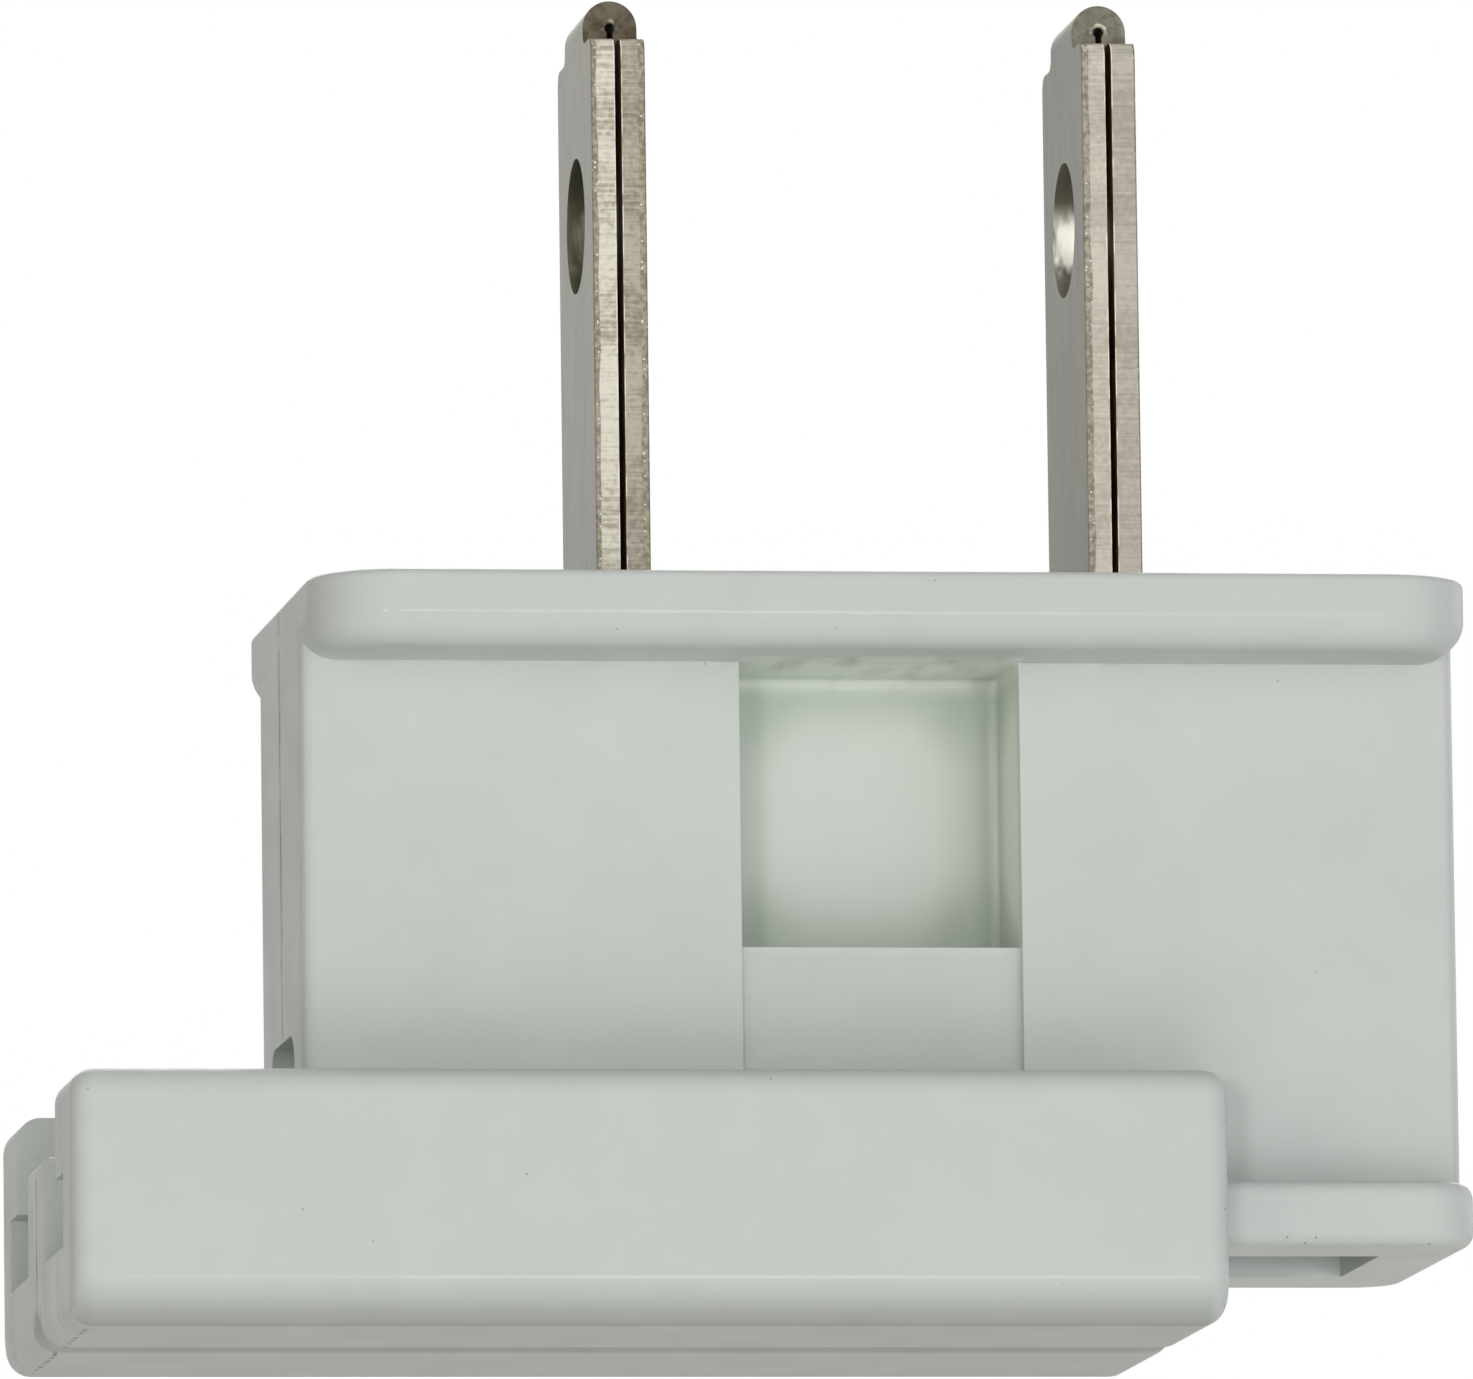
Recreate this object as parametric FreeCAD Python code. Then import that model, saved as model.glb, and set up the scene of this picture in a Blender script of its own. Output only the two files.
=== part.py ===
"""Slide-on two-blade plug for flat cord: moulded housing, two folded blades and a sliding cover.

Millimetres, +Z up along the blades. The origin is the middle of the plug face, between the blades.
X runs along the rails, and the cord side of the housing is at -X. The cover is drawn part way off.
"""
import FreeCAD
import Part
import math
import os

# Blades: a strip folded at the tip, necked at the fold, with one leaf drawn out to a spike
BLADE_PITCH = 12.7
BLADE_WIDTH = 6.35
LEAF_THICK = 0.62
LEAF_GAP = 0.16
FOLD_EYE_RADIUS = 0.13
BLADE_REACH = 15.5
NECK_WIDTH = 3.4
NECK_HEIGHT = 1.15
NECK_FILLET = 0.35
SHOULDER_RADIUS = 0.4
HOLE_RADIUS = 1.75
HOLE_BELOW_TIP = 5.6
SEAT_DEPTH = 6.5
SPIKE_WIDTH = 2.0
SPIKE_OFFSET = 1.3
SPIKE_POINT = 1.5
SPIKE_TIP_CLEARANCE = 0.7
BLADE_CLEARANCE = 0.03

# Housing: the plug face flange over an upright web, with the slide rails along its foot
WEB_LENGTH = 29.7
WEB_DEPTH = 8.86
WEB_HEIGHT = 13.38
WEB_EDGE = 0.4
FLANGE_LEDGE = 3.57
FLANGE_THICK = 1.9
FLANGE_CORNER = 2.2
FLANGE_UNDER_FILLET = 0.9
FLANGE_TOP_FILLET = 0.2
RAIL_END_STEP = 0.2
RAIL_LEDGE = 1.76
RAIL_THICK = 1.66
RAIL_CORNER = 1.5
RAIL_EDGE = 0.4
POCKET_SIDE_WALL = 2.02
POCKET_MIDDLE_WALL = 1.25
POCKET_FLOOR_WALL = 2.05
POCKET_CORNER = 0.25
RELIEF_DEPTH = 0.25

# Cord channel, open at -X and closed at +X
CHANNEL_HEIGHT = 5.72
CHANNEL_FOOT_WIDTH = 5.8
CHANNEL_ROOF_WIDTH = 4.9
CHANNEL_ROOF_CORNER = 0.9
CHANNEL_END_WALL = 1.9
CORD_SPACE = 3.1

# Cover: a C section that slides on the rails, with a rib that presses the cord on the spikes
COVER_END_INSET = 0.35
COVER_WALL = 2.2
COVER_FLOOR = 2.08
COVER_LIP = 2.5
COVER_PULLED = 6.5
COVER_END_RADIUS = 0.62
COVER_FOOT_RADIUS = 1.2
COVER_TOP_RADIUS = 0.72
RIB_SIDE_CLEARANCE = 0.45
RIB_EDGE = 0.25
RIB_STOP_GAP = 0.15
UNDER_GROOVE_WIDTH = 2.0
UNDER_GROOVE_DEPTH = 0.45
UNDER_GROOVE_SHOULDER = 1.2
UNDER_GROOVE_ROOT = 0.12
RAIL_SIDE_CLEARANCE = 0.12
RAIL_UPRIGHT_CLEARANCE = 0.1
LIP_CLEARANCE = 0.15

# Sections and lengths that follow from the sizes above
BLADE_THICK = 2 * LEAF_THICK + LEAF_GAP
FLANGE_DEPTH = WEB_DEPTH + 2 * FLANGE_LEDGE
RAIL_LENGTH = WEB_LENGTH + 2 * RAIL_END_STEP
RAIL_DEPTH = WEB_DEPTH + 2 * RAIL_LEDGE
POCKET_WIDTH = BLADE_PITCH - BLADE_THICK - 2 * (BLADE_CLEARANCE + POCKET_SIDE_WALL)
COVER_LENGTH = RAIL_LENGTH - 2 * COVER_END_INSET
COVER_DEPTH = RAIL_DEPTH + 2 * (RAIL_SIDE_CLEARANCE + COVER_WALL)
RIB_WIDTH = CHANNEL_ROOF_WIDTH - 2 * RIB_SIDE_CLEARANCE

# Levels below the plug face, and the places along the rails
FLANGE_UNDERSIDE = -FLANGE_THICK
RAIL_TOP = FLANGE_UNDERSIDE - WEB_HEIGHT
RAIL_FOOT = RAIL_TOP - RAIL_THICK
CHANNEL_ROOF = RAIL_FOOT + CHANNEL_HEIGHT
POCKET_FLOOR = CHANNEL_ROOF + POCKET_FLOOR_WALL
GROOVE_TOP = RAIL_TOP + RAIL_UPRIGHT_CLEARANCE
GROOVE_FOOT = RAIL_FOOT - RAIL_UPRIGHT_CLEARANCE
COVER_TOP = GROOVE_TOP + COVER_LIP
COVER_UNDERSIDE = GROOVE_FOOT - COVER_FLOOR
RIB_TOP = CHANNEL_ROOF - CORD_SPACE
SPIKE_TIP = RIB_TOP + SPIKE_TIP_CLEARANCE
CHANNEL_END = WEB_LENGTH / 2 - CHANNEL_END_WALL
COVER_LEFT = -COVER_PULLED - COVER_LENGTH / 2
COVER_RIGHT = -COVER_PULLED + COVER_LENGTH / 2

# How far a cutting solid runs past the face that it opens
CUT = 1.0

# How near an edge is to a plane that holds it
TOUCH = 1e-6


def vec(x, y, z):
    return FreeCAD.Vector(x, y, z)


def block(x0, x1, y0, y1, z0, z1):
    return Part.makeBox(x1 - x0, y1 - y0, z1 - z0, vec(x0, y0, z0))


def prism(points, direction):
    """Solid swept along direction from a closed outline of straight sides."""
    return Part.Face(Part.makePolygon(points + points[:1])).extrude(direction)


def rounded_outline(corners, radii):
    """Closed wire through corners, each rounded by its own radius (0 keeps it sharp)."""
    starts = []
    ends = []
    arcs = {}
    count = len(corners)
    for i in range(count):
        here = corners[i]
        back = corners[i - 1] - here
        ahead = corners[(i + 1) % count] - here
        back.normalize()
        ahead.normalize()
        half_angle = math.acos(back.dot(ahead)) / 2
        trim = radii[i] / math.tan(half_angle)
        starts.append(here + back * trim)
        ends.append(here + ahead * trim)
        if radii[i] > 0:
            inward = back + ahead
            inward.normalize()
            middle = here + inward * (radii[i] / math.sin(half_angle) - radii[i])
            arcs[i] = Part.Arc(starts[i], middle, ends[i]).toShape()
    wire_edges = []
    for i in range(count):
        if i in arcs:
            wire_edges.append(arcs[i])
        wire_edges.append(Part.LineSegment(ends[i], starts[(i + 1) % count]).toShape())
    return Part.Wire(wire_edges)


def rounded_prism(corners, radii, direction):
    return Part.Face(rounded_outline(corners, radii)).extrude(direction)


def plan_slab(length, depth, corner, z0, z1):
    """Flat slab with a rounded rectangular plan, centred on the Z axis."""
    x = length / 2
    y = depth / 2
    corners = [vec(sx * x, sy * y, z0) for sx, sy in ((-1, -1), (1, -1), (1, 1), (-1, 1))]
    return rounded_prism(corners, [corner] * 4, vec(0, 0, z1 - z0))


def edges_in_plane(shape, axis, place):
    """Edges that lie wholly in the plane where the axis (0 for x, 1 for y, 2 for z) is at place."""
    found = []
    for edge in shape.Edges:
        box = edge.BoundBox
        low = (box.XMin, box.YMin, box.ZMin)[axis]
        high = (box.XMax, box.YMax, box.ZMax)[axis]
        if abs(low - place) < TOUCH and abs(high - place) < TOUCH:
            found.append(edge)
    return found


def upright_edges(shape):
    return [edge for edge in shape.Edges if edge.BoundBox.ZLength > shape.BoundBox.ZLength / 2]


def flange():
    slab = plan_slab(WEB_LENGTH, FLANGE_DEPTH, FLANGE_CORNER, FLANGE_UNDERSIDE, 0.0)
    slab = slab.makeFillet(FLANGE_UNDER_FILLET, edges_in_plane(slab, 2, FLANGE_UNDERSIDE))
    return slab.makeFillet(FLANGE_TOP_FILLET, edges_in_plane(slab, 2, 0.0))


def web():
    """Upright block between flange and rails, flush with the flange at both ends."""
    x = WEB_LENGTH / 2
    y = WEB_DEPTH / 2
    solid = block(-x, x, -y, y, RAIL_TOP - RAIL_THICK / 2, FLANGE_UNDERSIDE + FLANGE_UNDER_FILLET)
    return solid.makeFillet(WEB_EDGE, upright_edges(solid))


def rails():
    slab = plan_slab(RAIL_LENGTH, RAIL_DEPTH, RAIL_CORNER, RAIL_FOOT, RAIL_TOP)
    return slab.makeFillet(RAIL_EDGE, edges_in_plane(slab, 2, RAIL_FOOT) + edges_in_plane(slab, 2, RAIL_TOP))


def pocket(side):
    """Core-out between the blades, with a shallow relief from it down to the rail."""
    face_y = side * WEB_DEPTH / 2
    wall_y = side * POCKET_MIDDLE_WALL / 2
    out_y = face_y + side * CUT
    x = POCKET_WIDTH / 2
    hollow = block(-x, x, min(wall_y, out_y), max(wall_y, out_y), POCKET_FLOOR, FLANGE_UNDERSIDE)
    hollow = hollow.makeFillet(POCKET_CORNER, edges_in_plane(hollow, 1, wall_y))
    relief_y = face_y - side * RELIEF_DEPTH
    relief = block(-x, x, min(relief_y, out_y), max(relief_y, out_y), RAIL_TOP, POCKET_FLOOR + CUT)
    return hollow.fuse(relief)


def cord_channel():
    """Channel for the flat cord, drawn in from the foot and stopped by a wall at +X."""
    foot_y = CHANNEL_FOOT_WIDTH / 2
    roof_y = CHANNEL_ROOF_WIDTH / 2
    x0 = -RAIL_LENGTH / 2 - CUT
    slope = (foot_y - roof_y) / CHANNEL_HEIGHT
    low_y = foot_y + slope * CUT
    outline = [vec(x0, -low_y, RAIL_FOOT - CUT), vec(x0, low_y, RAIL_FOOT - CUT),
               vec(x0, roof_y, CHANNEL_ROOF), vec(x0, -roof_y, CHANNEL_ROOF)]
    radii = [0, 0, CHANNEL_ROOF_CORNER, CHANNEL_ROOF_CORNER]
    return rounded_prism(outline, radii, vec(CHANNEL_END - x0, 0, 0))


def blade_outline(width, foot, top):
    """Face-on outline of the strip: square foot, rounded shoulders and the neck at the fold."""
    y = width / 2
    neck = NECK_WIDTH / 2
    shoulder = BLADE_REACH - NECK_HEIGHT
    corners = [vec(0, -y, foot), vec(0, y, foot), vec(0, y, shoulder), vec(0, neck, shoulder),
               vec(0, neck, top), vec(0, -neck, top), vec(0, -neck, shoulder), vec(0, -y, shoulder)]
    radii = [0, 0, SHOULDER_RADIUS, NECK_FILLET, 0, 0, NECK_FILLET, SHOULDER_RADIUS]
    return corners, radii


def folded_strip():
    """Two leaves with a narrow gap, closed by the half-round fold at the tip."""
    half = BLADE_THICK / 2
    fold_z = BLADE_REACH - half
    y0 = -BLADE_WIDTH / 2
    fold = Part.makeCylinder(half, BLADE_WIDTH, vec(0, y0, fold_z), vec(0, 1, 0))
    outer = block(-half, half, y0, -y0, -SEAT_DEPTH, fold_z).fuse(fold)
    slit = LEAF_GAP / 2
    eye = Part.makeCylinder(FOLD_EYE_RADIUS, BLADE_WIDTH, vec(0, y0, fold_z), vec(0, 1, 0))
    gap = block(-slit, slit, y0, -y0, -SEAT_DEPTH - CUT, fold_z).fuse(eye)
    return outer.cut(gap)


def spike(side, clearance=0.0):
    """Tail of the inner leaf, pointed where it goes through the cord."""
    half = BLADE_THICK / 2
    x0 = half - LEAF_THICK - clearance
    y = SPIKE_WIDTH / 2 + clearance
    middle = -side * SPIKE_OFFSET
    points = [vec(x0, middle - y, -SEAT_DEPTH), vec(x0, middle + y, -SEAT_DEPTH),
              vec(x0, middle + y, SPIKE_TIP + SPIKE_POINT), vec(x0, middle, SPIKE_TIP),
              vec(x0, middle - y, SPIKE_TIP + SPIKE_POINT)]
    tail = prism(points, vec(LEAF_THICK + 2 * clearance, 0, 0))
    if side > 0:
        tail = tail.mirror(vec(0, 0, 0), vec(1, 0, 0))
    return tail


def blade(side):
    """One blade, standing in its seat on the given side of the plug face."""
    reach = BLADE_THICK
    corners, radii = blade_outline(BLADE_WIDTH, -SEAT_DEPTH, BLADE_REACH + CUT)
    outline = rounded_prism([c - vec(reach, 0, 0) for c in corners], radii, vec(2 * reach, 0, 0))
    hole_z = BLADE_REACH - HOLE_BELOW_TIP
    hole = Part.makeCylinder(HOLE_RADIUS, 2 * reach, vec(-reach, 0, hole_z), vec(1, 0, 0))
    solid = folded_strip().common(outline).cut(hole).fuse(spike(side)).removeSplitter()
    solid.translate(vec(side * BLADE_PITCH / 2, 0, 0))
    return solid


def blade_seat(side):
    """Slot in the housing for one blade, with the narrower way down for its spike."""
    x = BLADE_THICK / 2 + BLADE_CLEARANCE
    y = BLADE_WIDTH / 2 + BLADE_CLEARANCE
    slot = block(-x, x, -y, y, -SEAT_DEPTH, CUT).fuse(spike(side, BLADE_CLEARANCE))
    slot.translate(vec(side * BLADE_PITCH / 2, 0, 0))
    return slot


def housing():
    solid = flange().fuse([web(), rails()]).removeSplitter()
    for side in (-1, 1):
        solid = solid.cut(pocket(side)).cut(blade_seat(side))
    return solid.cut(cord_channel())


def cover_block():
    """Outer form of the cover: a rounded section, grooved underneath, with its end edges rounded."""
    x0 = COVER_LEFT
    y = COVER_DEPTH / 2
    groove_y = UNDER_GROOVE_WIDTH / 2
    section = [vec(x0, -y, COVER_TOP), vec(x0, -y, COVER_UNDERSIDE),
               vec(x0, -groove_y, COVER_UNDERSIDE), vec(x0, 0, COVER_UNDERSIDE + UNDER_GROOVE_DEPTH),
               vec(x0, groove_y, COVER_UNDERSIDE), vec(x0, y, COVER_UNDERSIDE), vec(x0, y, COVER_TOP)]
    radii = [COVER_TOP_RADIUS, COVER_FOOT_RADIUS, UNDER_GROOVE_SHOULDER, UNDER_GROOVE_ROOT,
             UNDER_GROOVE_SHOULDER, COVER_FOOT_RADIUS, COVER_TOP_RADIUS]
    solid = rounded_prism(section, radii, vec(COVER_LENGTH, 0, 0))
    ends = edges_in_plane(solid, 0, COVER_LEFT) + edges_in_plane(solid, 0, COVER_RIGHT)
    return solid.makeFillet(COVER_END_RADIUS, ends)


def rail_groove():
    """Room in the cover for the rails, open upwards between the lips for the web."""
    x0 = COVER_LEFT - CUT
    x1 = COVER_RIGHT + CUT
    groove_y = RAIL_DEPTH / 2 + RAIL_SIDE_CLEARANCE
    lip_y = WEB_DEPTH / 2 + LIP_CLEARANCE
    groove = block(x0, x1, -groove_y, groove_y, GROOVE_FOOT, GROOVE_TOP)
    return groove.fuse(block(x0, x1, -lip_y, lip_y, GROOVE_FOOT, COVER_TOP + CUT))


def press_rib():
    """Rib on the cover's floor; its end meets the channel's end wall when the cover is home."""
    x1 = CHANNEL_END - RIB_STOP_GAP - COVER_PULLED
    y = RIB_WIDTH / 2
    rib = block(COVER_LEFT, x1, -y, y, GROOVE_FOOT - COVER_FLOOR / 2, RIB_TOP)
    return rib.makeFillet(RIB_EDGE, edges_in_plane(rib, 2, RIB_TOP))


def slide_cover():
    return cover_block().cut(rail_groove()).fuse(press_rib()).removeSplitter()


def main():
    os.makedirs("parts", exist_ok=True)
    pieces = {
        "housing": housing(),
        "left_blade": blade(-1),
        "right_blade": blade(1),
        "slide_cover": slide_cover(),
    }
    for name, shape in pieces.items():
        print(name, shape.isValid(), len(shape.Solids), round(shape.Volume, 2))
        shape.exportStep(os.path.join("parts", name + ".step"))


main()
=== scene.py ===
import math

import bpy
from mathutils import Matrix, Vector


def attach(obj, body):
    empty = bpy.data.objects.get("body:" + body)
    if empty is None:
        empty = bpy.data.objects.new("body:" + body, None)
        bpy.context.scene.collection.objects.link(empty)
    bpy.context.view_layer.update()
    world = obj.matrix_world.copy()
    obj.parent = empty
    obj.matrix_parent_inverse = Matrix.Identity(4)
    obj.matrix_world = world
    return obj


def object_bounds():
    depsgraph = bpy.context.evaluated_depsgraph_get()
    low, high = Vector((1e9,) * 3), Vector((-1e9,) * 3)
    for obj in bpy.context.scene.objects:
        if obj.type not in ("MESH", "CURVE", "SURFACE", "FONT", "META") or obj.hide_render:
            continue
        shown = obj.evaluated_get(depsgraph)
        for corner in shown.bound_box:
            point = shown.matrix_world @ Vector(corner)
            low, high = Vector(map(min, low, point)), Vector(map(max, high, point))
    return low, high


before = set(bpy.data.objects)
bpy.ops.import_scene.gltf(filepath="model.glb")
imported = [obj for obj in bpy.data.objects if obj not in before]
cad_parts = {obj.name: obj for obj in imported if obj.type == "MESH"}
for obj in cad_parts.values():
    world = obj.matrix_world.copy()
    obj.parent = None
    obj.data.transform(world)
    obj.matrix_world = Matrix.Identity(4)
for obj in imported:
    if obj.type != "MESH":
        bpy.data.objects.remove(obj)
CAD_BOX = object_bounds()
CAD_LOW, CAD_HIGH = CAD_BOX

# Driving sizes of the part, in metres

MM = 0.001
BLADE_AT = 6.35 * MM
LEAF_INSIDE = 0.08 * MM
LEAF_THICK = 0.62 * MM
NECK_HEIGHT = 1.15 * MM
HOLE_BELOW_TIP = 5.6 * MM
FLANGE_THICK = 1.9 * MM
POCKET_HALF = 3.6 * MM
POCKET_FLOOR_WALL = 2.05 * MM
CHANNEL_HEIGHT = 5.72 * MM
CORD_SPACE = 3.1 * MM
RAIL_THICK = 1.66 * MM
RAIL_LEDGE = 1.76 * MM
RAIL_END_STEP = 0.2 * MM
RAIL_SIDE_CLEARANCE = 0.12 * MM
RAIL_UPRIGHT_CLEARANCE = 0.1 * MM
COVER_WALL = 2.2 * MM
COVER_FLOOR = 2.08 * MM
COVER_END_INSET = 0.35 * MM
GROOVE_HALF = 1.0 * MM

# Places worked out from the frame and the sizes

BLADE_TIP = CAD_HIGH.z
LEAF_OUTSIDE = LEAF_INSIDE + LEAF_THICK
FOLD_AT = BLADE_TIP - LEAF_OUTSIDE
SHOULDER_AT = BLADE_TIP - NECK_HEIGHT
HOLE_AT = BLADE_TIP - HOLE_BELOW_TIP
COVER_LEFT = CAD_LOW.x
COVER_SIDE = CAD_HIGH.y
COVER_FOOT = CAD_LOW.z
RAIL_END = CAD_HIGH.x
RAIL_SIDE = COVER_SIDE - COVER_WALL - RAIL_SIDE_CLEARANCE
RAIL_FOOT = COVER_FOOT + COVER_FLOOR + RAIL_UPRIGHT_CLEARANCE
RAIL_TOP = RAIL_FOOT + RAIL_THICK
COVER_RIGHT = COVER_LEFT + 2 * (RAIL_END - COVER_END_INSET)
WEB_END = RAIL_END - RAIL_END_STEP
WEB_SIDE = RAIL_SIDE - RAIL_LEDGE
FLANGE_UNDERSIDE = -FLANGE_THICK
CHANNEL_ROOF = RAIL_FOOT + CHANNEL_HEIGHT
RIB_TOP = CHANNEL_ROOF - CORD_SPACE
POCKET_FLOOR = CHANNEL_ROOF + POCKET_FLOOR_WALL


# Colours


def srgb(red, green, blue):
    """A colour given as it looks on screen, 0 to 255, as the linear values a shader takes."""
    def linear(value):
        value /= 255
        return value / 12.92 if value < 0.04045 else ((value + 0.055) / 1.055) ** 2.4
    return (linear(red), linear(green), linear(blue), 1.0)


# A dirt colour, also laid as painted shade in the plastic's corners
DIRT_AND_SHADE = srgb(92, 80, 58)
# A grey laid as painted shade on the cover's foot and in its groove
SHADE_GREY = srgb(122, 124, 114)
PLASTIC_TONE = srgb(205, 210, 207)
PLASTIC_SHADE = srgb(202, 207, 204)
WHITE = (1.0, 1.0, 1.0)
WARM = (1.0, 0.965, 0.88)


# Node wiring


def feed(tree, node, sockets):
    """Link or set a node's inputs, each given by its name or number."""
    for key, value in sockets.items():
        if isinstance(value, bpy.types.NodeSocket):
            tree.links.new(value, node.inputs[key])
        else:
            node.inputs[key].default_value = value


def add(tree, kind, sockets=None, **settings):
    """Make a node with its settings and inputs, and give its outputs."""
    made = tree.nodes.new(kind)
    for key, value in settings.items():
        setattr(made, key, value)
    feed(tree, made, sockets or {})
    return made.outputs


def calc(tree, operation, *values):
    return add(tree, "ShaderNodeMath", dict(enumerate(values)), operation=operation)[0]


def all_of(tree, *masks):
    """The masks multiplied: 1 where every one of them is 1."""
    whole = masks[0]
    for mask in masks[1:]:
        whole = calc(tree, "MULTIPLY", whole, mask)
    return whole


def ramp(tree, value, low, high, start=0.0, end=1.0):
    """A smooth change from start, where the value is low, to end, where it is high."""
    sockets = {"Value": value, "From Min": low, "From Max": high, "To Min": start, "To Max": end}
    return add(tree, "ShaderNodeMapRange", sockets, interpolation_type="SMOOTHSTEP")[0]


def weighted(tree, *terms):
    """The sum of values, each times its weight."""
    total = 0.0
    for value, weight in terms:
        total = calc(tree, "MULTIPLY_ADD", value, weight, total)
    return total


def within(tree, value, low, high, soft):
    """1 between low and high, falling to 0 over soft outside them."""
    above = ramp(tree, value, low - soft, low)
    below = ramp(tree, value, high + soft, high)
    return calc(tree, "MULTIPLY", above, below)


def noise(tree, place, scale, detail=3.0, roughness=0.5):
    """Cloudy noise, with scale its cells to a metre."""
    sockets = {"Vector": place, "Scale": scale, "Detail": detail, "Roughness": roughness}
    return add(tree, "ShaderNodeTexNoise", sockets)[0]


def stretched(tree, place, scale):
    return add(tree, "ShaderNodeMapping", {"Vector": place, "Scale": scale})[0]


def specks(tree, place, scale, size, share):
    """Sparse round specks: 1 inside one, 0 elsewhere. The share is of the cells that have one."""
    cells = add(tree, "ShaderNodeTexVoronoi", {"Vector": place, "Scale": scale})
    draw = add(tree, "ShaderNodeSeparateColor", {0: cells["Color"]})[0]
    chosen = calc(tree, "LESS_THAN", draw, share)
    return calc(tree, "MULTIPLY", ramp(tree, cells["Distance"], size, size / 2), chosen)


def openness(tree, distance, samples):
    """1 in the open, less where the piece's own faces are closer than the distance."""
    sockets = {"Distance": distance}
    return add(tree, "ShaderNodeAmbientOcclusion", sockets, samples=samples, only_local=True)["AO"]


def split(tree, vector):
    return add(tree, "ShaderNodeSeparateXYZ", {0: vector})


def blend_colour(tree, factor, first, second):
    return add(tree, "ShaderNodeMix", {0: factor, 6: first, 7: second}, data_type="RGBA")[2]


def tones(tree, factor, pair):
    """Between the two screen colours of a pair."""
    return blend_colour(tree, factor, srgb(*pair[0]), srgb(*pair[1]))


def stain(tree, colour, mask, strength, tint):
    """The colour with a tint laid over it where the mask is."""
    return blend_colour(tree, calc(tree, "MULTIPLY", mask, strength), colour, tint)


def bump(tree, height, strength, distance):
    return add(tree, "ShaderNodeBump", {"Height": height, "Strength": strength, "Distance": distance})[0]


def new_material(name):
    material = bpy.data.materials.new(name)
    material.use_nodes = True
    tree = material.node_tree
    shader = tree.nodes["Principled BSDF"]
    place = add(tree, "ShaderNodeTexCoord")
    return material, tree, shader, place


# Plastic


def plastic(name, tone, shade, marks):
    """Moulded plastic: faint clouds, painted shade in the corners in patches, dark specks, a thin gloss
    over a dull body.
    """
    material, tree, shader, place = new_material(name)
    spot = place["Object"]
    clouds = ramp(tree, noise(tree, spot, scale=420.0, detail=4.0, roughness=0.6), low=0.3, high=0.7)
    colour = blend_colour(tree, clouds, shade, tone)
    patches = ramp(tree, noise(tree, spot, scale=1300.0), low=0.4, high=0.75)
    # Painted shade: darker, in patches, where the piece's own faces close in around a corner
    corners = ramp(tree, openness(tree, distance=0.3 * MM, samples=6), low=0.6, high=0.35)
    colour = stain(tree, colour, all_of(tree, corners, patches), strength=0.4, tint=DIRT_AND_SHADE)
    dots = specks(tree, spot, scale=1100.0, size=0.042, share=0.35)
    colour = stain(tree, colour, dots, strength=0.45, tint=DIRT_AND_SHADE)
    where = split(tree, spot)
    for mask, strength, tint in marks(tree, spot, where["X"], where["Y"], where["Z"]):
        colour = stain(tree, colour, mask, strength, tint)
    skin = noise(tree, spot, scale=5200.0, detail=2.0)
    waves = noise(tree, spot, scale=420.0, detail=2.0)
    height = weighted(tree, (waves, 1.0), (skin, 0.2))
    feed(tree, shader, {
        "Base Color": colour,
        "Roughness": ramp(tree, clouds, low=0.0, high=1.0, start=0.6, end=0.5),
        "Specular IOR Level": 0.05,
        "Coat Weight": 0.15,
        "Coat Roughness": 0.12,
        "Normal": bump(tree, height, strength=0.1, distance=0.05 * MM),
    })
    return material


# Marks on the plastic, each a mask, a strength and a tint: dirt and wear, and some painted light and shade


def no_marks(tree, spot, x, y, z):
    return ()


def housing_marks(tree, spot, x, y, z):
    depth = calc(tree, "ABSOLUTE", y)
    yield pocket_painted_light(tree, x, depth, z)
    yield from lip_painted_light_and_smudges(tree, spot, x, depth, z)
    yield from rail_crumbs(tree, spot, depth, z)
    yield end_dirt(tree, spot, x, depth)


def pocket_painted_light(tree, x, depth, z):
    """Painted light and shade inside the two pockets: paler in the open, greener and darker in the corners.
    """
    hair = 0.05 * MM
    span = within(tree, x, -POCKET_HALF, POCKET_HALF, hair)
    rise = within(tree, z, POCKET_FLOOR - 0.13 * MM, FLANGE_UNDERSIDE + 0.2 * MM, hair)
    inside = ramp(tree, depth, WEB_SIDE - 0.03 * MM, WEB_SIDE - 0.83 * MM)
    walls = ramp(tree, openness(tree, distance=2.4 * MM, samples=8), low=0.5, high=0.9)
    return all_of(tree, span, inside, rise), 1.0, tones(tree, walls, ((190, 199, 189), (221, 226, 220)))


def lip_painted_light_and_smudges(tree, spot, x, depth, z):
    """The flange's underside over the pockets: painted light makes it a little paler, and it has drawn-out
    smudges of dirt.
    """
    lip = all_of(
        tree,
        within(tree, x, -POCKET_HALF, POCKET_HALF, 0.05 * MM),
        ramp(tree, depth, WEB_SIDE + 1.57 * MM, WEB_SIDE + 0.77 * MM),
        ramp(tree, z, FLANGE_UNDERSIDE - 0.6 * MM, FLANGE_UNDERSIDE),
        ramp(tree, z, FLANGE_UNDERSIDE + 0.9 * MM, FLANGE_UNDERSIDE + 0.5 * MM),
    )
    # Painted light: the lip is made paler than the plastic around it
    yield lip, 0.6, srgb(232, 238, 230)
    drawn = stretched(tree, spot, (1.0, 0.25, 1.0))
    blots = ramp(tree, noise(tree, drawn, scale=1100.0), low=0.42, high=0.75)
    yield all_of(tree, lip, blots), 0.28, DIRT_AND_SHADE


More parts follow.
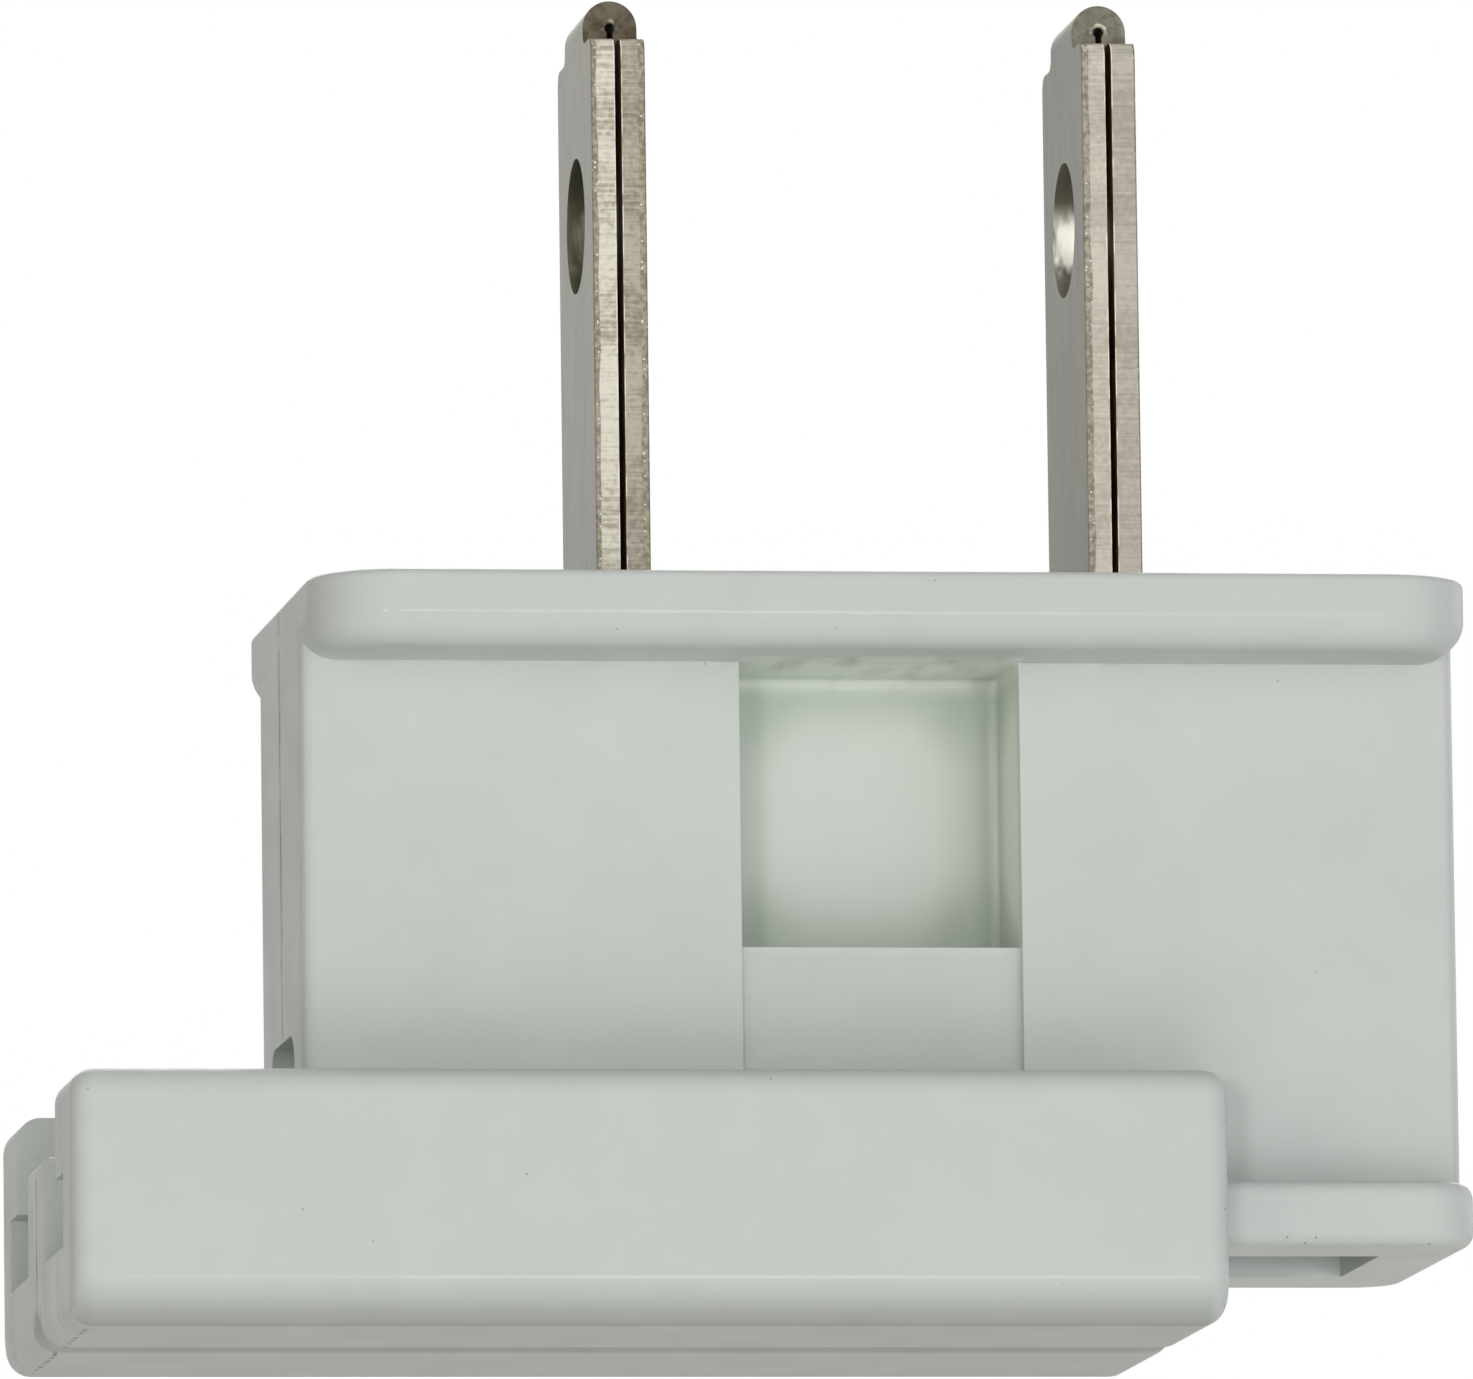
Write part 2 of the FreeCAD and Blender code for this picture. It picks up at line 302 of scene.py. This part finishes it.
def rail_crumbs(tree, spot, depth, z):
    """Pale and dark crumbs on the lower edge of the rails."""
    rise = within(tree, z, RAIL_FOOT - 0.01 * MM, RAIL_FOOT + 0.22 * MM, 0.04 * MM)
    edge = all_of(tree, rise, ramp(tree, depth, RAIL_SIDE - 0.59 * MM, RAIL_SIDE - 0.29 * MM))
    pale = specks(tree, spot, scale=5200.0, size=0.24, share=0.4)
    yield all_of(tree, edge, pale), 0.5, srgb(228, 230, 226)
    dark = specks(tree, spot, scale=4100.0, size=0.2, share=0.25)
    yield all_of(tree, edge, dark), 0.6, DIRT_AND_SHADE


def end_dirt(tree, spot, x, depth):
    """Patchy dirt beside the parting line on the left end of the web."""
    beside = ramp(tree, depth, 0.42 * MM, 0.08 * MM)
    left_end = ramp(tree, x, 0.25 * MM - WEB_END, 0.15 * MM - WEB_END)
    patches = ramp(tree, noise(tree, spot, scale=1400.0, roughness=0.6), low=0.4, high=0.65)
    return all_of(tree, beside, left_end, patches), 0.3, DIRT_AND_SHADE


def cover_marks(tree, spot, x, y, z):
    depth = calc(tree, "ABSOLUTE", y)
    breaks = ramp(tree, noise(tree, spot, scale=2600.0, detail=2.0), low=0.45, high=0.6)
    left_end = ramp(tree, x, COVER_LEFT + 0.3 * MM, COVER_LEFT + 0.1 * MM)
    yield underside_line(tree, breaks, x, depth, z)
    yield foot_painted_shade(tree, x, depth, z)
    yield groove_painted_shade(tree, depth, z)
    yield foot_seam(tree, breaks, left_end, depth, z)
    yield end_scratches(tree, spot, left_end)
    yield edge_crumbs(tree, spot, x, y)


def underside_line(tree, breaks, x, depth, z):
    """A broken line of dirt across the cover's underside, close to its left end."""
    line = within(tree, x, COVER_LEFT + 0.52 * MM, COVER_LEFT + 0.6 * MM, 0.03 * MM)
    low = ramp(tree, z, COVER_FOOT + 0.42 * MM, COVER_FOOT + 0.17 * MM)
    width = within(tree, depth, GROOVE_HALF - 0.1 * MM, COVER_SIDE - 1.21 * MM, 0.1 * MM)
    return all_of(tree, line, low, width, breaks), 0.55, DIRT_AND_SHADE


def foot_painted_shade(tree, x, depth, z):
    """Painted shade on the rounded edges along the cover's foot, darker towards the bottom."""
    low = ramp(tree, z, COVER_FOOT + 1.22 * MM, COVER_FOOT + 0.07 * MM)
    side = ramp(tree, depth, COVER_SIDE - 1.41 * MM, COVER_SIDE - 1.11 * MM)
    length = within(tree, x, COVER_LEFT + 0.4 * MM, COVER_RIGHT - 0.6 * MM, 0.4 * MM)
    # Painted shade: grey laid over the foot's rounding
    return all_of(tree, low, side, length), 0.38, SHADE_GREY


def groove_painted_shade(tree, depth, z):
    """Painted shade in the groove along the cover's underside, in grey."""
    low = ramp(tree, z, COVER_FOOT + 1.22 * MM, COVER_FOOT + 0.92 * MM)
    middle = ramp(tree, depth, GROOVE_HALF + 0.1 * MM, GROOVE_HALF - 0.2 * MM)
    return all_of(tree, low, middle), 0.4, SHADE_GREY


def foot_seam(tree, breaks, left_end, depth, z):
    """The parting line's broken dirt, on the foot of the cover's left end."""
    middle = ramp(tree, depth, 0.12 * MM, 0.05 * MM)
    low = ramp(tree, z, COVER_FOOT + 1.42 * MM, COVER_FOOT + 1.12 * MM)
    return all_of(tree, left_end, middle, low, breaks), 0.8, DIRT_AND_SHADE


def end_scratches(tree, spot, left_end):
    """Faint upright scratches on the cover's left end."""
    scratch = noise(tree, stretched(tree, spot, (1.0, 1.0, 0.05)), scale=3600.0, detail=2.0)
    return all_of(tree, left_end, ramp(tree, scratch, low=0.55, high=0.75)), 0.16, DIRT_AND_SHADE


def edge_crumbs(tree, spot, x, y):
    """Dark crumbs on the cover's near right edge."""
    right = within(tree, x, COVER_RIGHT - 0.45 * MM, COVER_RIGHT - 0.1 * MM, 0.05 * MM)
    near = ramp(tree, y, 0.91 * MM - COVER_SIDE, 0.61 * MM - COVER_SIDE)
    crumbs = specks(tree, spot, scale=3600.0, size=0.18, share=0.3)
    return all_of(tree, right, near, crumbs), 0.65, DIRT_AND_SHADE


# Nickel of the blades

# Sheen is how bright the metal is at a slant, and rim is how strong the painted highlight round the fold's
# eye is.
# Left and right are the tones of the shear marks on the two leaves, and torn is how much of each is torn.
# The others are the tones of the torn band, the fold's end, the hole's wall with its painted reflection,
# and the gap between the leaves.
LEFT_LOOK = {
    "sheen": 0.43,
    "left": ((140, 134, 121), (190, 185, 173)),
    "right": ((118, 112, 99), (158, 152, 139)),
    "torn": (0.27, 0.32),
    "ragged": ((116, 109, 94), (150, 143, 128)),
    "tip": ((64, 57, 45), (104, 97, 83)),
    "rim": 0.35,
    "bore": ((82, 79, 66), (128, 124, 110)),
    "gap": ((70, 58, 40), (112, 96, 70)),
}
RIGHT_LOOK = {
    "sheen": 0.29,
    "left": ((154, 148, 137), (178, 172, 161)),
    "right": ((142, 137, 127), (164, 158, 148)),
    "torn": (0.34, 0.06),
    "ragged": ((116, 111, 97), (152, 147, 134)),
    "tip": ((88, 84, 73), (128, 124, 112)),
    "rim": 0.7,
    "bore": ((112, 109, 96), (240, 237, 228)),
    "gap": ((70, 46, 20), (122, 82, 40)),
}
FLAT_TONES = ((180, 179, 172), (190, 189, 182))
PIT = srgb(84, 80, 70)
SPARK = srgb(226, 222, 211)
BURR = srgb(222, 217, 205)
EDGE_SHADE = srgb(76, 71, 61)
EYE_HIGHLIGHT = srgb(206, 202, 190)
EYE_RING = 0.2 * MM

# Further than this from the blade's middle, a face on edge is a cut edge, and nearer it is the hole's wall
CUT_FACE_FROM = 2.6 * MM


def rolled_flat(tree, spot):
    """The strip's rolled face: its colour, with a fine upright grain and pits, and the grain."""
    grain = noise(tree, stretched(tree, spot, (1.0, 1.0, 0.2)), scale=2600.0)
    colour = tones(tree, ramp(tree, grain, low=0.2, high=0.8), FLAT_TONES)
    pits = specks(tree, spot, scale=1100.0, size=0.08, share=0.3)
    return stain(tree, colour, pits, strength=0.4, tint=PIT), grain


def shear_marks(tree, spot, lines, crumbs, right_leaf, look):
    """The colour of the smooth part of a cut edge: fine lines across the leaf, with a drifting tone."""
    drift = noise(tree, stretched(tree, spot, (0.3, 0.3, 1.0)), scale=700.0, detail=2.0)
    streak = ramp(tree, weighted(tree, (drift, 0.6), (crumbs, 0.5), (lines, 0.7)), low=0.68, high=1.05)
    left = tones(tree, streak, look["left"])
    right = tones(tree, streak, look["right"])
    return blend_colour(tree, right_leaf, left, right)


def torn_band(tree, spot, off, right_leaf, look):
    """1 on the torn outer part of a leaf's cut edge, with a wavy border."""
    left_from, right_from = (LEAF_OUTSIDE - LEAF_THICK * share for share in look["torn"])
    border = calc(tree, "MULTIPLY_ADD", right_leaf, right_from - left_from, left_from)
    waves = calc(tree, "SUBTRACT", noise(tree, spot, scale=700.0, detail=2.0), 0.5)
    wavy = calc(tree, "MULTIPLY_ADD", waves, 0.16 * MM, off)
    return ramp(tree, calc(tree, "SUBTRACT", wavy, border), 0.0, 0.03 * MM)


def cut_edge(tree, spot, off, right_leaf, look):
    """The strip's cut edge: shear lines, a torn band with sparks, a burr at the gap and a dark rim of
    painted shade at the outer edge.
    """
    lines = noise(tree, stretched(tree, spot, (0.03, 0.2, 1.0)), scale=11000.0, roughness=0.6)
    crumbs = noise(tree, spot, scale=7000.0, roughness=0.6)
    sheared = shear_marks(tree, spot, lines, crumbs, right_leaf, look)
    torn = torn_band(tree, spot, off, right_leaf, look)
    ragged = tones(tree, ramp(tree, crumbs, low=0.35, high=0.65), look["ragged"])
    colour = blend_colour(tree, torn, sheared, ragged)
    sparks = all_of(tree, specks(tree, spot, scale=8600.0, size=0.26, share=0.5), torn)
    colour = stain(tree, colour, sparks, strength=0.8, tint=SPARK)
    burr = ramp(tree, off, LEAF_INSIDE + 0.035 * MM, LEAF_INSIDE + 0.02 * MM)
    lengths = ramp(tree, noise(tree, spot, scale=1600.0, detail=2.0), low=0.42, high=0.58)
    colour = stain(tree, colour, all_of(tree, burr, lengths), strength=0.7, tint=BURR)
    # Painted shade: a dark rim along the leaf's outer edge
    rim = ramp(tree, off, LEAF_OUTSIDE - 0.045 * MM, LEAF_OUTSIDE - 0.02 * MM)
    colour = stain(tree, colour, rim, strength=0.6, tint=EDGE_SHADE)
    return colour, weighted(tree, (lines, 0.2), (crumbs, torn))


def fold_end(tree, spot, across, up, look):
    """The stained end of the fold, with a painted highlight on the rim round the upper part of its eye."""
    blotch = noise(tree, spot, scale=1800.0, detail=4.0, roughness=0.65)
    colour = tones(tree, ramp(tree, blotch, low=0.3, high=0.7), look["tip"])
    rise = calc(tree, "SUBTRACT", up, FOLD_AT)
    square = calc(tree, "MULTIPLY_ADD", rise, rise, calc(tree, "MULTIPLY", across, across))
    from_ring = calc(tree, "ABSOLUTE", calc(tree, "SUBTRACT", calc(tree, "SQRT", square), EYE_RING))
    ring = ramp(tree, from_ring, 0.06 * MM, 0.02 * MM)
    breaks = ramp(tree, noise(tree, spot, scale=3600.0, detail=2.0), low=0.42, high=0.62)
    upper = ramp(tree, rise, -0.08 * MM, 0.04 * MM)
    # Painted highlight: a pale crescent on the upper part of the eye's rim
    return stain(tree, colour, all_of(tree, ring, breaks, upper), look["rim"], EYE_HIGHLIGHT)


def hole_wall(tree, spot, up, look):
    """The punched wall of the hole, with painted reflections in upright streaks about its middle."""
    streaks = noise(tree, stretched(tree, spot, (1.0, 1.0, 0.15)), scale=2600.0)
    middle = within(tree, up, HOLE_AT - 0.5 * MM, HOLE_AT + 0.3 * MM, 0.7 * MM)
    painted_reflection = all_of(tree, middle, ramp(tree, streaks, low=0.35, high=0.6))
    return tones(tree, painted_reflection, look["bore"])


def leaf_gap(tree, spot, off, up, look):
    """1 on the faces of the gap between the leaves, and their rusty colour."""
    between = calc(tree, "LESS_THAN", off, LEAF_INSIDE + 0.003 * MM)
    below = calc(tree, "LESS_THAN", up, FOLD_AT)
    patches = ramp(tree, noise(tree, spot, scale=900.0), low=0.35, high=0.65)
    return all_of(tree, between, below), tones(tree, patches, look["gap"])


def nickel(name, centre, look):
    """Dull nickel on a folded stamped strip: rolled flats, cut edges, a stained fold and a dark gap."""
    material, tree, shader, place = new_material(name)
    spot = place["Object"]
    where = split(tree, spot)
    up = where["Z"]
    across = calc(tree, "SUBTRACT", where["X"], centre)
    off = calc(tree, "ABSOLUTE", across)
    right_leaf = calc(tree, "GREATER_THAN", across, 0.0)
    turned = calc(tree, "ABSOLUTE", split(tree, place["Normal"])["X"])
    edge = ramp(tree, turned, low=0.8, high=0.6)
    at_side = ramp(tree, calc(tree, "ABSOLUTE", where["Y"]), CUT_FACE_FROM - 0.1 * MM, CUT_FACE_FROM)
    at_fold = ramp(tree, up, SHOULDER_AT - 0.1 * MM, SHOULDER_AT + 0.05 * MM)

    flat, grain = rolled_flat(tree, spot)
    cut, cut_height = cut_edge(tree, spot, off, right_leaf, look)
    gap, rust = leaf_gap(tree, spot, off, up, look)
    side = blend_colour(tree, at_side, hole_wall(tree, spot, up, look), cut)
    side = blend_colour(tree, at_fold, side, fold_end(tree, spot, across, up, look))
    colour = blend_colour(tree, edge, flat, side)
    height = weighted(tree, (grain, 0.05), (cut_height, all_of(tree, edge, at_side)))
    feed(tree, shader, {
        "Base Color": blend_colour(tree, gap, colour, rust),
        "Metallic": calc(tree, "SUBTRACT", 1.0, gap),
        "Roughness": ramp(tree, edge, low=0.0, high=1.0, start=0.42, end=0.55),
        "Specular IOR Level": 0.05,
        "Specular Tint": (look["sheen"], look["sheen"], look["sheen"], 1.0),
        "Normal": bump(tree, height, strength=0.4, distance=0.03 * MM),
    })
    return material


# The CAD pieces

PLASTIC_EDGE = 0.07 * MM
BLADE_EDGE = 0.05 * MM


def soften(part, width):
    """Round the sharp edges of a CAD piece by a hair, with modifiers."""
    weld = part.modifiers.new("weld", "WELD")
    weld.merge_threshold = 1e-7
    flats = part.modifiers.new("flats", "DECIMATE")
    flats.decimate_type = "DISSOLVE"
    flats.angle_limit = math.radians(1)
    bevel = part.modifiers.new("bevel", "BEVEL")
    bevel.width = width
    bevel.segments = 2
    bevel.limit_method = "ANGLE"
    bevel.angle_limit = math.radians(50)
    even = part.modifiers.new("even", "WEIGHTED_NORMAL")
    even.weight = 100


def dress(node, material, edge):
    """Give a CAD piece its material and its softened edges."""
    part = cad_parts[node]
    part.data.materials.clear()
    part.data.materials.append(material)
    part.data.shade_smooth()
    soften(part, edge)


dress("housing", plastic("housing_plastic", PLASTIC_TONE, PLASTIC_SHADE, housing_marks), PLASTIC_EDGE)
dress("slide_cover", plastic("cover_plastic", PLASTIC_TONE, PLASTIC_SHADE, cover_marks), PLASTIC_EDGE)
dress("left_blade", nickel("left_blade_nickel", -BLADE_AT, LEFT_LOOK), BLADE_EDGE)
dress("right_blade", nickel("right_blade_nickel", BLADE_AT, RIGHT_LOOK), BLADE_EDGE)


# Parting lines left by the mould

SEAM = plastic("seam_plastic", srgb(186, 187, 178), srgb(138, 135, 122), no_marks)
SEAM_STEPS = 60
SEAM_HALF = 0.11 * MM
SEAM_HEIGHT = 0.014 * MM
SEAM_STRAY = 0.006 * MM
HOUSING_SEAM_TOP = FLANGE_UNDERSIDE + 0.8 * MM
COVER_SEAM_FOOT = COVER_FOOT + 1.12 * MM


def swell(step):
    """How full a parting line is at a step along it, from a half to 1."""
    quick_wave = math.sin(step * 2.3)
    slow_wave = math.sin(step * 0.37 + 1.0)
    return 0.75 + 0.25 * quick_wave * slow_wave


def stray(step):
    """How far a parting line strays sideways at a step along it."""
    return SEAM_STRAY * math.sin(step * 0.9)


def parting_line(name, body, outward, x, high, low):
    """A thin uneven ridge down the middle of an end face, three corners to a step."""
    corners = []
    faces = []
    for step in range(SEAM_STEPS + 1):
        z = high + (low - high) * step / SEAM_STEPS
        middle = stray(step)
        half = SEAM_HALF * swell(step)
        crest = x + outward * SEAM_HEIGHT * swell(step)
        corners += [(x, middle - half, z), (crest, middle, z), (x, middle + half, z)]
    for step in range(SEAM_STEPS):
        a = 3 * step
        b = a + 3
        faces += [(a, a + 1, b + 1, b), (a + 1, a + 2, b + 2, b + 1), (a + 2, a, b, b + 2)]
    last = 3 * SEAM_STEPS
    faces += [(0, 2, 1), (last, last + 1, last + 2)]
    mesh = bpy.data.meshes.new(name)
    mesh.from_pydata(corners, [], faces)
    mesh.materials.append(SEAM)
    piece = bpy.data.objects.new(name, mesh)
    bpy.context.scene.collection.objects.link(piece)
    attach(piece, body)


def housing_seam(name, outward, low):
    parting_line(name, "plug", outward, outward * WEB_END, HOUSING_SEAM_TOP, low)


def cover_seam(name, outward, x, high):
    parting_line(name, "cover", outward, x, high, COVER_SEAM_FOOT)


housing_seam("housing_seam_left", -1, CHANNEL_ROOF + 0.12 * MM)
housing_seam("housing_seam_right", 1, RAIL_TOP + 0.08 * MM)
cover_seam("cover_seam_left", -1, COVER_LEFT, RIB_TOP - 0.38 * MM)
cover_seam("cover_seam_right", 1, COVER_RIGHT, RAIL_FOOT - 0.21 * MM)


# Floor and world

FLOOR_REACH = 1.5
FLOOR_LEVEL = COVER_FOOT - 0.02 * MM


def seen(tree):
    """1 for a ray from the eye, off a gloss or through glass, 0 for one that only gathers light."""
    path = add(tree, "ShaderNodeLightPath")
    direct = calc(tree, "MAXIMUM", path["Is Camera Ray"], path["Is Glossy Ray"])
    return calc(tree, "MAXIMUM", direct, path["Is Transmission Ray"])


def floor_paper():
    """White paper that shows only from above, so that a camera below the part's base looks past it."""
    material = bpy.data.materials.new("floor_paper")
    material.use_nodes = True
    tree = material.node_tree
    tree.nodes.remove(tree.nodes["Principled BSDF"])
    above = calc(tree, "SUBTRACT", 1.0, add(tree, "ShaderNodeNewGeometry")["Backfacing"])
    matt = add(tree, "ShaderNodeBsdfDiffuse", {"Color": srgb(246, 246, 244)})[0]
    glow = add(tree, "ShaderNodeEmission", {"Color": (*WHITE, 1.0), "Strength": 0.25})[0]
    paper = add(tree, "ShaderNodeAddShader", {0: matt, 1: glow})[0]
    clear = add(tree, "ShaderNodeBsdfTransparent")[0]
    shown = calc(tree, "MULTIPLY", seen(tree), above)
    mixed = add(tree, "ShaderNodeMixShader", {0: shown, 1: clear, 2: paper})[0]
    feed(tree, tree.nodes["Material Output"], {"Surface": mixed})
    return material


def pale_floor():
    mesh = bpy.data.meshes.new("floor")
    signs = ((-1, -1), (1, -1), (1, 1), (-1, 1))
    corners = [(across * FLOOR_REACH, along * FLOOR_REACH, FLOOR_LEVEL) for across, along in signs]
    mesh.from_pydata(corners, [], [(0, 1, 2, 3)])
    mesh.materials.append(floor_paper())
    floor = bpy.data.objects.new("floor", mesh)
    bpy.context.scene.collection.objects.link(floor)


def white_world(level):
    """White to the eye and in reflections, warm and at the given level as light."""
    world = bpy.data.worlds.new("studio")
    world.use_nodes = True
    tree = world.node_tree
    tree.nodes.clear()
    light = add(tree, "ShaderNodeBackground", {"Color": (*WARM, 1.0), "Strength": level})[0]
    white = add(tree, "ShaderNodeBackground", {"Color": (*WHITE, 1.0), "Strength": 1.0})[0]
    mixed = add(tree, "ShaderNodeMixShader", {0: seen(tree), 1: light, 2: white})[0]
    add(tree, "ShaderNodeOutputWorld", {"Surface": mixed})
    bpy.context.scene.world = world


pale_floor()
white_world(level=0.12)


# Lamps and camera, with angles in degrees

LAMP_DISTANCE = 0.6
LAMP_TARGET = Vector((-3.0 * MM, 0.0, -4.0 * MM))
PHOTO_WIDTH = 1473
FOCAL_PIXELS = 19560.4
SENSOR_WIDTH = 36.0
CAMERA_TARGET = Vector((-3.03 * MM, 0.0, -2.069 * MM))
CAMERA_DISTANCE = 501.95 * MM
CAMERA_AZIMUTH = -8.186
CAMERA_ELEVATION = -6.977
CAMERA_ROLL = -0.731


def direction(azimuth, elevation):
    """From the part outward: azimuth 0 is the near side, 90 the right."""
    a = math.radians(azimuth)
    e = math.radians(elevation)
    return Vector((math.sin(a) * math.cos(e), -math.cos(a) * math.cos(e), math.sin(e)))


def aim(thing, position, target, roll=0.0):
    """Put a lamp or camera at a position, looking at the target, rolled about its line of sight."""
    back = (position - target).normalized()
    level = Vector((0.0, 0.0, 1.0)).cross(back).normalized()
    upright = back.cross(level)
    turn = math.radians(roll)
    right = math.cos(turn) * level + math.sin(turn) * upright
    up = math.cos(turn) * upright - math.sin(turn) * level
    matrix = Matrix((right, up, back)).transposed().to_4x4()
    matrix.translation = position
    thing.matrix_world = matrix


def soft_box(name, azimuth, elevation, size, level, colour):
    """A square lamp. A small one lights a white face turned to it at about the given level."""
    lamp = bpy.data.lights.new(name, "AREA")
    lamp.shape = "SQUARE"
    lamp.size = size
    lamp.color = colour
    lamp.energy = level * (math.pi * LAMP_DISTANCE) ** 2
    box = bpy.data.objects.new(name, lamp)
    bpy.context.scene.collection.objects.link(box)
    aim(box, LAMP_TARGET + direction(azimuth, elevation) * LAMP_DISTANCE, LAMP_TARGET)


def photo_camera():
    data = bpy.data.cameras.new("camera")
    data.sensor_fit = "HORIZONTAL"
    data.sensor_width = SENSOR_WIDTH
    data.lens = FOCAL_PIXELS / PHOTO_WIDTH * SENSOR_WIDTH
    camera = bpy.data.objects.new("camera", data)
    bpy.context.scene.collection.objects.link(camera)
    position = CAMERA_TARGET + direction(CAMERA_AZIMUTH, CAMERA_ELEVATION) * CAMERA_DISTANCE
    aim(camera, position, CAMERA_TARGET, CAMERA_ROLL)
    bpy.context.scene.camera = camera


soft_box("front_panel", azimuth=0.0, elevation=0.0, size=1.2, level=0.3, colour=WHITE)
soft_box("front_low", azimuth=-4.0, elevation=-14.0, size=0.7, level=0.13, colour=WHITE)
soft_box("low_fill", azimuth=0.0, elevation=-40.0, size=0.5, level=0.22, colour=WHITE)
soft_box("under_fill", azimuth=180.0, elevation=-55.0, size=0.4, level=0.25, colour=WARM)
soft_box("left_side", azimuth=-60.0, elevation=-5.0, size=0.5, level=0.25, colour=WARM)
soft_box("right_side", azimuth=50.0, elevation=-5.0, size=0.5, level=0.265, colour=WHITE)
soft_box("right_fill", azimuth=125.0, elevation=5.0, size=0.4, level=0.22, colour=WHITE)
soft_box("left_glint", azimuth=-17.0, elevation=-4.0, size=0.05, level=0.1, colour=WHITE)
soft_box("right_glint", azimuth=23.0, elevation=-4.0, size=0.045, level=0.03, colour=WHITE)
soft_box("low_glint", azimuth=8.0, elevation=-3.0, size=0.055, level=0.06, colour=WHITE)
soft_box("back_light", azimuth=174.0, elevation=36.0, size=0.4, level=0.6, colour=WHITE)
soft_box("top_light", azimuth=0.0, elevation=88.0, size=0.4, level=0.2, colour=WHITE)
photo_camera()
bpy.context.scene.view_settings.view_transform = "Standard"
